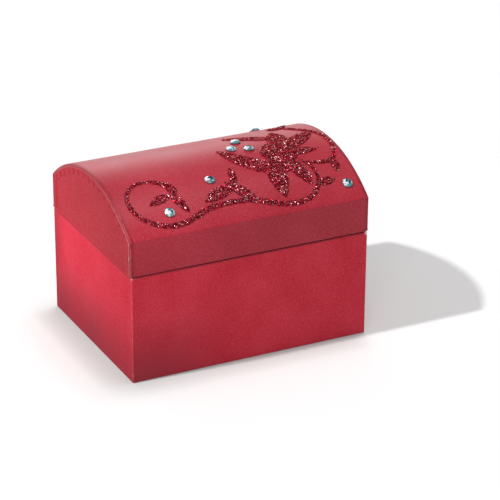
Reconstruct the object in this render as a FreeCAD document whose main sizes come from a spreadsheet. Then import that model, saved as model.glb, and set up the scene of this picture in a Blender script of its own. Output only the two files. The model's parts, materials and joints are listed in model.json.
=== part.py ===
"""Keepsake box of paper-covered board: a tray, a domed lid on a cloth hinge, scrollwork and rhinestones.

The box stands on z = 0 with its front towards -Y. The origin is the middle of its footprint. Millimetres.
"""

import FreeCAD
import Part
import Sketcher
import math
import os

# Driving dimensions: name, size, what it measures
SIZES = [
    ("box_length", 152, "outside length of the tray, left to right"),
    ("box_depth", 115, "outside depth of the box, front to back"),
    ("base_height", 66, "height of the tray's rim above the table"),
    ("lid_wall_height", 21.5, "upright part of the lid, rim to crease"),
    ("arch_rise", 21.5, "rise of the lid's arch above the crease"),
    ("lid_overhang", 0.3, "how far each end board of the lid stands past the tray's"),
    ("board_thick", 2, "greyboard of the walls, the floor and the lid's ends"),
    ("arch_board_thick", 1.5, "bent board of the lid's arch"),
    ("wrap_thick", 0.25, "red cover paper"),
    ("lining_thick", 0.2, "pale lining paper"),
    ("underside_thick", 0.25, "sheet pasted under the tray"),
    ("underside_inset", 3, "margin round the underside sheet"),
    ("stay_thick", 0.15, "gummed corner tape, and the paste layer beside it"),
    ("stay_leg", 14, "width of the tape on each side of a corner"),
    ("lid_stay_margin", 4, "tape stops this far below the lid's crease"),
    ("turn_in", 15, "cover paper turned in over a rim"),
    ("turn_under", 12, "cover paper turned under the tray"),
    ("rim_border", 10, "cover paper that shows between a rim and the lining"),
    ("tab_length", 6, "notched tabs of the lid's cover paper, folded over its ends"),
    ("tab_pitch", 8, "spacing of the notched tabs along the arch"),
    ("tab_taper", 1.2, "how far each side of a tab draws in towards its tip"),
    ("end_inset", 1.8, "margin of an end paper inside the lid's outline"),
    ("fit_gap", 0.3, "clearance where two sheets meet at a corner"),
    ("hinge_thick", 0.3, "hinge cloth across the back"),
    ("hinge_leaf", 18, "hinge cloth above and below the seam"),
    ("hinge_end_gap", 2, "hinge cloth stops this far from each end"),
    ("hinge_lining_thick", 0.2, "hinge lining folded into the seam"),
    ("fold_gap", 0.1, "gap inside the fold of the hinge lining, which props the lid at the seam"),
    ("hinge_lining_leaf", 8, "hinge lining on the inner faces of the back walls"),
    ("gem_diameter", 6.4, "rhinestone across its corners"),
    ("gem_height", 1.6, "rhinestone, flat back to table"),
    ("gem_girdle", 0.2, "upright band round a rhinestone"),
    ("gem_table", 4.2, "flat top of a rhinestone, taken as round"),
    ("gem_facets", 12, "sides of a rhinestone"),
    ("gem_glue", 0.05, "glue under a rhinestone"),
    ("gem_margin", 0.4, "bare ring round a rhinestone in the glitter"),
    ("glitter_thick", 0.45, "glitter and its glue above the cover paper"),
    ("glitter_end_margin", 1, "bare lid between the glitter's field and each end"),
    ("glitter_front_margin", 3, "bare lid between the glitter's field and the front crease"),
    ("glitter_back_margin", 18, "bare lid between the glitter's field and the back crease"),
    ("scroll_length", 150, "length of field that the glitter's widths are drawn for"),
    ("scroll_depth", 94, "depth of field that the glitter's widths are drawn for"),
    ("stem_width", 2.3, "usual width of a glitter stem"),
    ("leaf_width", 5, "usual width of a glitter leaf"),
    ("petal_width", 9, "usual width of a glitter petal"),
    ("flower_eye", 22, "diameter of the flower's middle"),
]

# The scrollwork's field, in plan: places are per cent of its length from the left, and of its depth
# from the front
GEM_PLACES = [(19.0, 9.3), (41.1, 26.8), (58.7, 54.9), (63.6, 64.7), (65.5, 51.3), (94.6, 6.9), (83.3, 99.5)]

# Strokes: along, inward, and width there as a share of the stem's
STEM_PLACES = [
    (22.7, 18.1, 0.0),
    (24.3, 24.5, 2.2),
    (21.3, 31.4, 1.6),
    (16.0, 34.8, 0.8),
    (10.0, 33.0, 0.8),
    (5.7, 25.0, 0.9),
    (5.0, 14.4, 1.0),
    (9.3, 5.9, 1.0),
    (17.3, 1.6, 1.0),
    (26.0, 2.7, 1.0),
    (34.0, 6.9, 1.0),
    (44.7, 8.5, 1.0),
    (54.0, 7.4, 1.1),
    (63.3, 2.7, 1.0),
    (72.7, 1.4, 0.9),
    (79.3, 4.8, 0.9),
    (83.3, 12.2, 0.8),
    (84.0, 21.8, 0.8),
    (81.0, 30.5, 0.0),
]
LOOP_PLACES = [
    (81.5, 28.0, 0.0),
    (88.7, 25.0, 0.9),
    (93.3, 25.7, 0.9),
    (96.9, 31.9, 0.8),
    (98.7, 42.6, 0.8),
    (98.4, 52.7, 0.8),
    (96.0, 62.2, 0.8),
    (92.3, 69.7, 0.8),
    (89.3, 77.1, 0.8),
    (88.0, 84.0, 0.0),
]

# Leaves and petals: root, tip, width as a share of the leaf's or petal's, and the part of the width
# that lies to the left of the line from root to tip
LEAF_PLACES = [
    ((22.5, 20.5), (12.7, 16.0), 1.0, 0.4),
    ((22.0, 21.5), (26.8, 7.4), 1.0, 0.6),
    ((55.5, 6.6), (46.0, 22.9), 1.3, 0.5),
    ((49.0, 14.4), (52.1, 35.1), 0.9, 0.6),
    ((50.0, 19.0), (34.7, 11.7), 1.4, 0.4),
    ((83.0, 9.5), (90.3, 11.2), 0.9, 0.6),
    ((94.0, 26.5), (92.9, 16.0), 0.9, 0.6),
    ((89.0, 78.5), (82.7, 81.4), 1.1, 0.5),
    ((88.6, 80.5), (93.3, 88.8), 0.8, 0.5),
]
LEAF_BELLY = 0.45  # widest place of a leaf or petal, as a share of the way from root to tip
EYE_PLACE = (75.3, 41.0)
PETAL_PLACES = [
    ((78.0, 24.0), (52.7, 55.9), 1.2, 1.2),
    ((80.5, 58.0), (60.9, 75.6), 0.6, 0.5),
    ((78.0, 42.0), (81.3, 70.7), 1.4, 0.5),
    ((78.0, 43.0), (96.0, 60.6), 1.1, 0.5),
    ((76.0, 40.0), (91.0, 37.8), 0.7, 0.5),
    ((75.3, 38.0), (80.3, 10.1), 1.0, 0.5),
    ((74.0, 38.0), (67.3, 5.3), 1.3, 0.25),
]

doc = FreeCAD.newDocument("keepsake_box")
sheet = doc.addObject("Spreadsheet::Sheet", "Sizes")
for row, (alias, size, meaning) in enumerate(SIZES, start=1):
    sheet.set(f"A{row}", meaning)
    sheet.set(f"B{row}", str(size))
    sheet.setAlias(f"B{row}", alias)
doc.recompute()

subparts = []


def number(expression):
    """The value of an expression over the sheet's cells."""
    return float(sheet.evalExpression(str(expression)))


def cell(alias):
    """The sheet's cell of that name, for use in an expression."""
    return f"Sizes.{alias}"


def less(total, *parts):
    """The expression of a size with others taken off."""
    return "(" + " - ".join([str(total), *parts]) + ")"


def more(*parts):
    """The expression of several sizes added up."""
    return "(" + " + ".join(parts) + ")"


def minus(expression):
    """The expression with its sign changed."""
    return f"(-1 * {expression})"


# Planes of the box, as distances from its middle or heights above the table
WRAP = cell("wrap_thick")
BOARD = cell("board_thick")
LINING = cell("lining_thick")
STAY = cell("stay_thick")
HALF_LENGTH = f"({cell('box_length')} / 2)"
HALF_DEPTH = f"({cell('box_depth')} / 2)"
BOARD_X = less(HALF_LENGTH, WRAP, STAY)
BOARD_Y = less(HALF_DEPTH, WRAP, STAY)
WALL_IN_X = less(BOARD_X, BOARD)
WALL_IN_Y = less(BOARD_Y, BOARD)
TURN_X = less(WALL_IN_X, WRAP)
TURN_Y = less(WALL_IN_Y, WRAP)
FLOOR_Z = more(cell("underside_thick"), WRAP)
FLOOR_TOP = more(FLOOR_Z, BOARD)
RIM = cell("base_height")
BOARD_RIM = less(RIM, WRAP)
SEAM_GAP = f"(2 * {cell('hinge_lining_thick')} + {cell('fold_gap')})"
LID_FOOT = more(RIM, SEAM_GAP)
LID_BOARD_FOOT = more(LID_FOOT, WRAP)
CREASE = more(LID_FOOT, cell("lid_wall_height"))
LID_BOARD_X = more(BOARD_X, cell("lid_overhang"))
LID_IN_X = less(LID_BOARD_X, BOARD)
LID_TURN_X = less(LID_IN_X, WRAP)
TAB_OUT_X = more(LID_BOARD_X, STAY, WRAP)
LID_TURN_TOP = more(LID_FOOT, cell("turn_in"))
LID_LINING_FOOT = more(LID_FOOT, cell("rim_border"))

# The arch of the lid: radii of its layers about one axis along X
ARCH_RADIUS = f"(({HALF_DEPTH} ^ 2 + {cell('arch_rise')} ^ 2) / (2 * {cell('arch_rise')}))"
ARCH_AXIS = f"({CREASE} + {cell('arch_rise')} - {ARCH_RADIUS})"
SKIN_RADIUS = less(ARCH_RADIUS, WRAP)
ARCH_BOARD_RADIUS = less(SKIN_RADIUS, STAY)
CEILING_RADIUS = less(ARCH_BOARD_RADIUS, cell("arch_board_thick"))
ARCH_LINING_RADIUS = less(CEILING_RADIUS, LINING)


def on_arch(radius, across):
    """The height of a layer of the arch at a distance from the box's middle plane."""
    return f"({ARCH_AXIS} + sqrt({radius} ^ 2 - {across} ^ 2))"


def keep(label, part):
    """Names a finished sub-part and lists it for export."""
    part.Label = label
    subparts.append(part)
    return part


def block(label, x_span, y_span, z_span):
    """A board or sheet with square edges, between two expressions along each axis."""
    board = doc.addObject("Part::Box", label)
    spans = (x_span, y_span, z_span)
    for size, axis, (low, high) in zip(("Length", "Width", "Height"), "xyz", spans):
        board.setExpression(size, less(high, low))
        board.setExpression(f"Placement.Base.{axis}", str(low))
    return keep(label, board)


def both_ways(half):
    """A span that is centred on the box."""
    return minus(half), half


def new_body(label):
    return keep(label, doc.addObject("PartDesign::Body", label))


def new_sketch(body, name, plane, offset="0"):
    """A sketch on one of the body's own planes, moved along the plane's normal."""
    sketch = body.newObject("Sketcher::SketchObject", f"{body.Name}_{name}")
    support = next(f for f in body.Origin.OriginFeatures if f.Role == plane)
    sketch.AttachmentSupport = [(support, "")]
    sketch.MapMode = "FlatFace"
    sketch.setExpression("AttachmentOffset.Base.z", str(offset))
    return sketch


def draw_outline(sketch, corners, arcs=None):
    """Adds a closed outline whose corners are pairs of expressions.

    arcs gives, for the number of an edge, the height of its centre on the sketch's upright axis.
    """
    arcs = arcs or {}
    points = [FreeCAD.Vector(number(u), number(v), 0) for u, v in corners]
    first = sketch.GeometryCount
    ends = []
    for index, start in enumerate(points):
        end = points[(index + 1) % len(points)]
        if index in arcs:
            centre = FreeCAD.Vector(0, number(arcs[index]), 0)
            right, left = sorted((start, end), key=lambda point: -point.x)
            circle = Part.Circle(centre, FreeCAD.Vector(0, 0, 1), (right - centre).Length)
            angles = [math.atan2(p.y - centre.y, p.x) for p in (right, left)]
            sketch.addGeometry(Part.ArcOfCircle(circle, *angles), False)
            ends.append((1, 2) if start is right else (2, 1))
        else:
            sketch.addGeometry(Part.LineSegment(start, end), False)
            ends.append((1, 2))
    for index in range(len(points)):
        after = (index + 1) % len(points)
        sketch.addConstraint(
            Sketcher.Constraint("Coincident", first + index, ends[index][1], first + after, ends[after][0])
        )
    for index, (u, v) in enumerate(corners):
        for kind, place, expression in (("X", points[index].x, u), ("Y", points[index].y, v)):
            constraint = Sketcher.Constraint(
                f"Distance{kind}", -1, 1, first + index, ends[index][0], place
            )
            bind_constraint(sketch, constraint, f"corner_{first + index}_{kind}", expression)
    for index, height in arcs.items():
        constraint = Sketcher.Constraint("DistanceY", -1, 1, first + index, 3, number(height))
        bind_constraint(sketch, constraint, f"centre_{first + index}", height)


def bind_constraint(sketch, constraint, name, expression):
    """Adds a dimension to a sketch, named, and driven by an expression."""
    index = sketch.addConstraint(constraint)
    sketch.renameConstraint(index, name)
    sketch.setExpression(f"Constraints.{name}", str(expression))


def draw_rectangle(sketch, u_span, v_span):
    (left, right), (low, high) = u_span, v_span
    draw_outline(sketch, [(left, low), (right, low), (right, high), (left, high)])


def pad(body, sketch, length, symmetric=False, backwards=False):
    feature = body.newObject("PartDesign::Pad", f"{sketch.Name}_pad")
    feature.Profile = sketch
    feature.setExpression("Length", str(length))
    feature.SideType = "Symmetric" if symmetric else "One side"
    feature.Reversed = backwards
    return feature


def add_ring(body, name, outer, inner, z_span):
    """Adds a rectangular ring to a body: half sizes outside and inside, and its two heights."""
    sketch = new_sketch(body, name, "XY_Plane", z_span[0])
    for half_x, half_y in (outer, inner):
        draw_rectangle(sketch, both_ways(half_x), both_ways(half_y))
    pad(body, sketch, less(z_span[1], z_span[0]))


def dome_corners(half_y, foot, radius):
    """Corners of an upright slice of the lid under one layer of the arch. The arch is edge 1."""
    spring = on_arch(radius, half_y)
    return [(half_y, foot), (half_y, spring), (minus(half_y), spring), (minus(half_y), foot)]


def corner_stay(label, side_x, side_y, corner_x, z_span):
    """Gummed tape folded round one upright corner of the boards."""
    leg = cell("stay_leg")
    outer_x, outer_y = more(corner_x, STAY), more(BOARD_Y, STAY)
    edge_x, edge_y = less(outer_x, leg), less(outer_y, leg)
    corners = [
        (outer_x, outer_y),
        (outer_x, edge_y),
        (corner_x, edge_y),
        (corner_x, BOARD_Y),
        (edge_x, BOARD_Y),
        (edge_x, outer_y),
    ]
    body = new_body(label)
    sketch = new_sketch(body, "angle", "XY_Plane", z_span[0])
    draw_outline(sketch, [(f"({side_x} * {u})", f"({side_y} * {v})") for u, v in corners])
    pad(body, sketch, less(z_span[1], z_span[0]))


CORNERS = {"front_left": (-1, -1), "front_right": (1, -1), "back_left": (-1, 1), "back_right": (1, 1)}
ENDS = {"left": -1, "right": 1}


def build_tray():
    """Floor and wall boards, corner tape, cover paper and linings of the tray."""
    walls = (FLOOR_Z, BOARD_RIM)
    block("base_floor_board", both_ways(WALL_IN_X), both_ways(WALL_IN_Y), (FLOOR_Z, FLOOR_TOP))
    block("base_front_board", both_ways(BOARD_X), (minus(BOARD_Y), minus(WALL_IN_Y)), walls)
    block("base_back_board", both_ways(BOARD_X), (WALL_IN_Y, BOARD_Y), walls)
    block("base_left_board", (minus(BOARD_X), minus(WALL_IN_X)), both_ways(WALL_IN_Y), walls)
    block("base_right_board", (WALL_IN_X, BOARD_X), both_ways(WALL_IN_Y), walls)
    for corner, (side_x, side_y) in CORNERS.items():
        corner_stay(f"base_corner_stay_{corner}", side_x, side_y, BOARD_X, walls)

    wrap = new_body("base_wrap")
    outside = (HALF_LENGTH, HALF_DEPTH)
    under = cell("underside_thick")
    turn = cell("turn_under")
    add_ring(wrap, "walls", outside, (less(HALF_LENGTH, WRAP), less(HALF_DEPTH, WRAP)), (under, RIM))
    add_ring(wrap, "rim", outside, (TURN_X, TURN_Y), (BOARD_RIM, RIM))
    add_ring(wrap, "inside", (WALL_IN_X, WALL_IN_Y), (TURN_X, TURN_Y), (less(RIM, cell("turn_in")), RIM))
    add_ring(wrap, "under", outside, (less(HALF_LENGTH, turn), less(HALF_DEPTH, turn)), (under, FLOOR_Z))

    inset = cell("underside_inset")
    block(
        "base_underside_sheet",
        both_ways(less(HALF_LENGTH, inset)),
        both_ways(less(HALF_DEPTH, inset)),
        ("0", under),
    )
    lining_top = more(FLOOR_TOP, LINING)
    block("base_floor_lining", both_ways(TURN_X), both_ways(TURN_Y), (FLOOR_TOP, lining_top))
    lining = new_body("base_wall_lining")
    inner = (less(TURN_X, LINING), less(TURN_Y, LINING))
    add_ring(lining, "walls", (TURN_X, TURN_Y), inner, (lining_top, less(RIM, cell("rim_border"))))


def build_lid_boards():
    """Upright boards, end boards, bent arch board and corner tape of the lid."""
    for label, side in (("lid_front_board", -1), ("lid_back_board", 1)):
        inner, outer = f"({side} * {WALL_IN_Y})", f"({side} * {BOARD_Y})"
        body = new_body(label)
        sketch = new_sketch(body, "section", "YZ_Plane")
        corners = [
            (outer, LID_BOARD_FOOT),
            (outer, on_arch(CEILING_RADIUS, BOARD_Y)),
            (inner, on_arch(CEILING_RADIUS, WALL_IN_Y)),
            (inner, LID_BOARD_FOOT),
        ]
        draw_outline(sketch, corners)
        pad(body, sketch, f"2 * {LID_BOARD_X}", symmetric=True)

    arch = new_body("lid_arch_board")
    sketch = new_sketch(arch, "section", "YZ_Plane")
    top, under = on_arch(ARCH_BOARD_RADIUS, BOARD_Y), on_arch(CEILING_RADIUS, BOARD_Y)
    back, front = BOARD_Y, minus(BOARD_Y)
    draw_outline(
        sketch,
        [(back, under), (back, top), (front, top), (front, under)],
        {1: ARCH_AXIS, 3: ARCH_AXIS},
    )
    pad(arch, sketch, f"2 * {LID_BOARD_X}", symmetric=True)

    for end, side in ENDS.items():
        body = new_body(f"lid_{end}_end_board")
        sketch = new_sketch(body, "section", "YZ_Plane", f"{side} * {LID_IN_X}")
        draw_outline(sketch, dome_corners(WALL_IN_Y, LID_BOARD_FOOT, CEILING_RADIUS), {1: ARCH_AXIS})
        pad(body, sketch, BOARD, backwards=side < 0)

    tape = (LID_BOARD_FOOT, less(CREASE, cell("lid_stay_margin")))
    for corner, (side_x, side_y) in CORNERS.items():
        corner_stay(f"lid_corner_stay_{corner}", side_x, side_y, LID_BOARD_X, tape)


def add_end_tabs(body, end, side):
    """Folds the notched edge of the lid's cover paper over one end."""
    tab = cell("tab_length")
    edge = less(HALF_DEPTH, tab)
    uprights = new_sketch(body, f"{end}_folds", "YZ_Plane", f"{side} * {TAB_OUT_X}")
    fold_top = less(CREASE, WRAP)
    for span in ((edge, HALF_DEPTH), (minus(HALF_DEPTH), minus(edge))):
        draw_rectangle(uprights, span, (LID_FOOT, fold_top))
    pad(body, uprights, WRAP, backwards=side > 0)

    # One tab of the arch at the back, then a row of them about the arch's axis
    pitch = f"({cell('tab_pitch')} / {ARCH_RADIUS} * 180 / pi)"
    taper = f"({cell('tab_taper')} / {ARCH_RADIUS} * 180 / pi)"
    span = f"(asin({HALF_DEPTH} / {ARCH_RADIUS}) / 1 deg)"
    count = f"(floor(2 * {span} / {pitch}) - 1)"
    start = f"(({count} - 1) / 2 * {pitch})"
    root, tip = less(ARCH_RADIUS, f"({WRAP} / 2)"), less(ARCH_RADIUS, tab)

    def polar(radius, angle):
        return f"({radius} * sin({angle} * 1 deg))", f"({radius} * cos({angle} * 1 deg))"

    root_low, root_high = less(start, f"({pitch} / 2)"), more(start, f"({pitch} / 2)")
    tip_low, tip_high = more(root_low, taper), less(root_high, taper)
    first = new_sketch(body, f"{end}_tab", "YZ_Plane", f"{side} * {TAB_OUT_X}")
    first.setExpression("AttachmentOffset.Base.y", ARCH_AXIS)
    draw_outline(
        first,
        [polar(root, root_high), polar(root, root_low), polar(tip, tip_low), polar(tip, tip_high)],
    )
    tooth = pad(body, first, WRAP, backwards=side > 0)
    doc.recompute()
    row = body.newObject("PartDesign::PolarPattern", f"{body.Name}_{end}_tabs")
    row.Originals = [tooth]
    row.Axis = (first, ["N_Axis"])
    row.setExpression("Occurrences", count)
    row.setExpression("Angle", f"({count} - 1) * {pitch}")
    body.Tip = row
    doc.recompute()


def build_lid_papers():
    """Cover paper, end papers and linings of the lid."""
    wrap = new_body("lid_wrap")
    skin = new_sketch(wrap, "skin", "YZ_Plane")
    inner_y = less(HALF_DEPTH, WRAP)
    spring = on_arch(SKIN_RADIUS, inner_y)
    back = [
        (TURN_Y, LID_FOOT),
        (HALF_DEPTH, LID_FOOT),
        (HALF_DEPTH, CREASE),
    ]
    under = [(inner_y, spring), (inner_y, LID_BOARD_FOOT), (TURN_Y, LID_BOARD_FOOT)]
    mirror = [[(minus(u), v) for u, v in reversed(part)] for part in (back, under)]
    draw_outline(skin, back + mirror[0] + mirror[1] + under, {2: ARCH_AXIS, 8: ARCH_AXIS})
    pad(wrap, skin, f"2 * {TAB_OUT_X}", symmetric=True)
    inside = new_sketch(wrap, "inside", "YZ_Plane")
    for span in ((TURN_Y, WALL_IN_Y), (minus(WALL_IN_Y), minus(TURN_Y))):
        draw_rectangle(inside, span, (LID_FOOT, LID_TURN_TOP))
    pad(wrap, inside, f"2 * {less(LID_TURN_X, cell('fit_gap'))}", symmetric=True)
    for end, side in ENDS.items():
        add_end_tabs(wrap, end, side)

    inset = cell("end_inset")
    for end, side in ENDS.items():
        paper = new_body(f"lid_{end}_end_paper")
        face = new_sketch(paper, "face", "YZ_Plane", f"{side} * {TAB_OUT_X}")
        corners = dome_corners(less(HALF_DEPTH, inset), LID_FOOT, less(ARCH_RADIUS, inset))
        draw_outline(face, corners, {1: ARCH_AXIS})
        pad(paper, face, WRAP, backwards=side < 0)
        hook = new_sketch(paper, "turn_in", "XZ_Plane")
        section = [
            (more(TAB_OUT_X, WRAP), LID_FOOT),
            (more(TAB_OUT_X, WRAP), LID_BOARD_FOOT),
            (LID_IN_X, LID_BOARD_FOOT),
            (LID_IN_X, LID_TURN_TOP),
            (LID_TURN_X, LID_TURN_TOP),
            (LID_TURN_X, LID_FOOT),
        ]
        draw_outline(hook, [(f"({side} * {u})", v) for u, v in section])
        pad(paper, hook, f"2 * {less(TURN_Y, cell('fit_gap'))}", symmetric=True)

        lining = new_body(f"lid_{end}_end_lining")
        sheet_face = new_sketch(lining, "face", "YZ_Plane", f"{side} * {LID_TURN_X}")
        draw_outline(sheet_face, dome_corners(TURN_Y, LID_LINING_FOOT, CEILING_RADIUS), {1: ARCH_AXIS})
        pad(lining, sheet_face, LINING, backwards=side > 0)

    lining = new_body("lid_arch_lining")
    section = new_sketch(lining, "section", "YZ_Plane")
    inner = less(TURN_Y, LINING)
    outer_spring, inner_spring = on_arch(CEILING_RADIUS, TURN_Y), on_arch(ARCH_LINING_RADIUS, inner)
    corners = [
        (TURN_Y, LID_LINING_FOOT),
        (TURN_Y, outer_spring),
        (minus(TURN_Y), outer_spring),
        (minus(TURN_Y), LID_LINING_FOOT),
        (minus(inner), LID_LINING_FOOT),
        (minus(inner), inner_spring),
        (inner, inner_spring),
        (inner, LID_LINING_FOOT),
    ]
    draw_outline(section, corners, {1: ARCH_AXIS, 5: ARCH_AXIS})
    pad(lining, section, f"2 * {less(LID_TURN_X, LINING)}", symmetric=True)


def build_hinge():
    """Cloth strip across the back, and the lining strip folded into the seam inside it."""
    leaf = cell("hinge_leaf")
    block(
        "hinge_outer_strip",
        both_ways(less(HALF_LENGTH, cell("hinge_end_gap"))),
        (HALF_DEPTH, more(HALF_DEPTH, cell("hinge_thick"))),
        (less(RIM, leaf), more(LID_FOOT, leaf)),
    )
    thick, inner_leaf = cell("hinge_lining_thick"), cell("hinge_lining_leaf")
    strip = new_body("hinge_inner_strip")
    section = new_sketch(strip, "section", "YZ_Plane")
    face, fold = less(TURN_Y, thick), less(HALF_DEPTH, thick)
    corners = [
        (TURN_Y, less(RIM, inner_leaf)),
        (TURN_Y, RIM),
        (HALF_DEPTH, RIM),
        (HALF_DEPTH, LID_FOOT),
        (TURN_Y, LID_FOOT),
        (TURN_Y, more(LID_FOOT, inner_leaf)),
        (face, more(LID_FOOT, inner_leaf)),
        (face, less(LID_FOOT, thick)),
        (fold, less(LID_FOOT, thick)),
        (fold, more(RIM, thick)),
        (face, more(RIM, thick)),
        (face, less(RIM, inner_leaf)),
    ]
    draw_outline(section, corners)
    pad(strip, section, f"2 * {less(TURN_X, cell('hinge_end_gap'))}", symmetric=True)


def field_span():
    """The glitter's field in plan: its left end, its length, its front and its depth."""
    side = number(less(HALF_LENGTH, cell("glitter_end_margin")))
    front = number(less(cell("glitter_front_margin"), HALF_DEPTH))
    back = number(less(HALF_DEPTH, cell("glitter_back_margin")))
    return -side, 2 * side, front, back - front


def field_point(along, inward):
    """A place in the glitter's field, in plan, from per cent of its length and depth."""
    left, length, front, depth = field_span()
    return FreeCAD.Vector(left + along / 100 * length, front + inward / 100 * depth, 0)


def gem_ring(name, radius, height):
    """An even outline with a stone's number of sides, level at that height."""
    ring = doc.addObject("Part::RegularPolygon", name)
    ring.setExpression("Polygon", cell("gem_facets"))
    ring.setExpression("Circumradius", radius)
    ring.setExpression("Placement.Base.z", height)
    return ring


def new_stone(label):
    """A flat-backed stone: an upright band, and on it a crown that narrows to the table."""
    girdle_radius = f"({cell('gem_diameter')} / 2)"
    slope_run = f"(({cell('gem_diameter')} - {cell('gem_table')}) / 2)"
    table_radius = f"({girdle_radius} - {slope_run} / cos(180 deg / {cell('gem_facets')}))"
    band = doc.addObject("Part::Prism", f"{label}_band")
    band.setExpression("Polygon", cell("gem_facets"))
    band.setExpression("Circumradius", girdle_radius)
    band.setExpression("Height", cell("gem_girdle"))
    crown = doc.addObject("Part::Loft", f"{label}_crown")
    crown.Sections = [
        gem_ring(f"{label}_girdle_ring", girdle_radius, cell("gem_girdle")),
        gem_ring(f"{label}_table_ring", table_radius, cell("gem_height")),
    ]
    crown.Solid = True
    crown.Ruled = True
    stone = doc.addObject("Part::Fuse", f"{label}_stone")
    stone.Base = band
    stone.Tool = crown
    return keep(label, stone)


def build_rhinestones():
    """Faceted flat-backed stones, each standing square on the arch."""
    radius, axis_height = number(ARCH_RADIUS), number(ARCH_AXIS)
    for index, gem_place in enumerate(GEM_PLACES, start=1):
        stone = new_stone(f"rhinestone_{index}")
        plan = field_point(*gem_place)
        lean = math.asin(plan.y / radius)
        stand = radius + number(cell("gem_glue"))
        foot = FreeCAD.Vector(plan.x, stand * math.sin(lean), axis_height + stand * math.cos(lean))
        turn = FreeCAD.Rotation(FreeCAD.Vector(1, 0, 0), -math.degrees(lean))
        stone.Placement = FreeCAD.Placement(foot, turn)


def stroke_width(alias):
    """A width in the scrollwork, narrower where the field is shorter or less deep than it was drawn for."""
    left, length, front, depth = field_span()
    squeeze = min(1, length / number(cell("scroll_length")), depth / number(cell("scroll_depth")))
    return squeeze * number(cell(alias))


def stroke_face(stroke):
    """A flat brush stroke along a spine, with its width at each point and a point at both ends."""
    spine = [field_point(along, inward) for along, inward, share in stroke]
    half_widths = [share * stroke_width("stem_width") / 2 for along, inward, share in stroke]
    left, right = [], []
    for index, point in enumerate(spine):
        before, after = spine[max(index - 1, 0)], spine[min(index + 1, len(spine) - 1)]
        along = (after - before).normalize()
        side = FreeCAD.Vector(-along.y, along.x, 0) * half_widths[index]
        left.append(point + side)
        right.append(point - side)
    edges = []
    for points in (left, right):
        curve = Part.BSplineCurve()
        curve.interpolate(points)
        edges.append(curve.toShape())
    return Part.Face(Part.Wire(Part.__sortEdges__(edges)))


def leaf_face(root_place, tip_place, width, lean):
    """A pointed leaf between two arcs, with that part of its width to the left of root to tip."""
    root, tip = field_point(*root_place), field_point(*tip_place)
    middle = root + (tip - root) * LEAF_BELLY
    along = (tip - root).normalize()
    across = FreeCAD.Vector(-along.y, along.x, 0) * width
    full = Part.Arc(root, middle + across * lean, tip)
    slim = Part.Arc(tip, middle - across * (1 - lean), root)
    return Part.Face(Part.Wire([full.toShape(), slim.toShape()]))


def glitter_faces():
    """The scrollwork in plan: a pointed flower, a stem that ends in a hook, a loop, and leaves."""
    eye = Part.makeCircle(stroke_width("flower_eye") / 2, field_point(*EYE_PLACE))
    faces = [Part.Face(Part.Wire(eye))]
    for width, shapes in (("petal_width", PETAL_PLACES), ("leaf_width", LEAF_PLACES)):
        for root, tip, share, lean in shapes:
            faces.append(leaf_face(root, tip, share * stroke_width(width), lean))
    faces += [stroke_face(stroke) for stroke in (STEM_PLACES, LOOP_PLACES)]
    return faces


def build_glitter():
    """Glitter relief: the scrollwork's outline carried up through a thin layer over the arch."""
    reach = number(f"2 * {HALF_LENGTH}")
    low, high = number(LID_FOOT), number(f"{CREASE} + 2 * {cell('arch_rise')}")
    upright = FreeCAD.Vector(0, 0, high - low)
    strokes = []
    for face in glitter_faces():
        face.translate(FreeCAD.Vector(0, 0, low))
        strokes.append(face.extrude(upright))
    inside, outside = number(ARCH_RADIUS), number(more(ARCH_RADIUS, cell("glitter_thick")))
    axis = FreeCAD.Vector(-reach / 2, 0, number(ARCH_AXIS))
    layer = Part.makeCylinder(outside, reach, axis, FreeCAD.Vector(1, 0, 0)).cut(
        Part.makeCylinder(inside, reach, axis, FreeCAD.Vector(1, 0, 0))
    )
    bare_radius = number(f"{cell('gem_diameter')} / 2 + {cell('gem_margin')}")
    for place in GEM_PLACES:
        foot = field_point(*place) + FreeCAD.Vector(0, 0, low)
        layer = layer.cut(Part.makeCylinder(bare_radius, high - low, foot))
    drawing = strokes[0].fuse(strokes[1:]).removeSplitter()
    glitter = doc.addObject("Part::Feature", "glitter_scrollwork")
    glitter.Shape = drawing.common(layer)
    glitter.Placement = FreeCAD.Placement()
    keep("glitter_scrollwork", glitter)


def check_and_export():
    """Stops on any failed object or bad solid, and writes one file for each sub-part."""
    doc.recompute()
    failed = [o.Label for o in doc.Objects if {"Invalid", "Error"} & set(o.State)]
    if failed:
        raise RuntimeError(f"these objects failed: {failed}")
    os.makedirs("parts", exist_ok=True)
    for part in subparts:
        shape = part.Shape
        if shape.isNull() or not shape.isValid() or not shape.Solids:
            raise RuntimeError(f"{part.Label} has no valid solid")
        print(part.Label, "solids", len(shape.Solids), "volume", round(shape.Volume, 2))
    for part in subparts:
        part.Shape.exportStep(f"parts/{part.Label}.step")


build_tray()
build_lid_boards()
build_lid_papers()
build_hinge()
build_rhinestones()
build_glitter()
check_and_export()
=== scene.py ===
"""Looks of the keepsake box: red paper over board, a domed lid on a cloth hinge, glitter and rhinestones.

Everything is in metres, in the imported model's frame: the front is towards -Y and the table is z = 0.
"""

import bisect
import json
import math
from random import Random

import bpy
from mathutils import Matrix, Vector, noise


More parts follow.
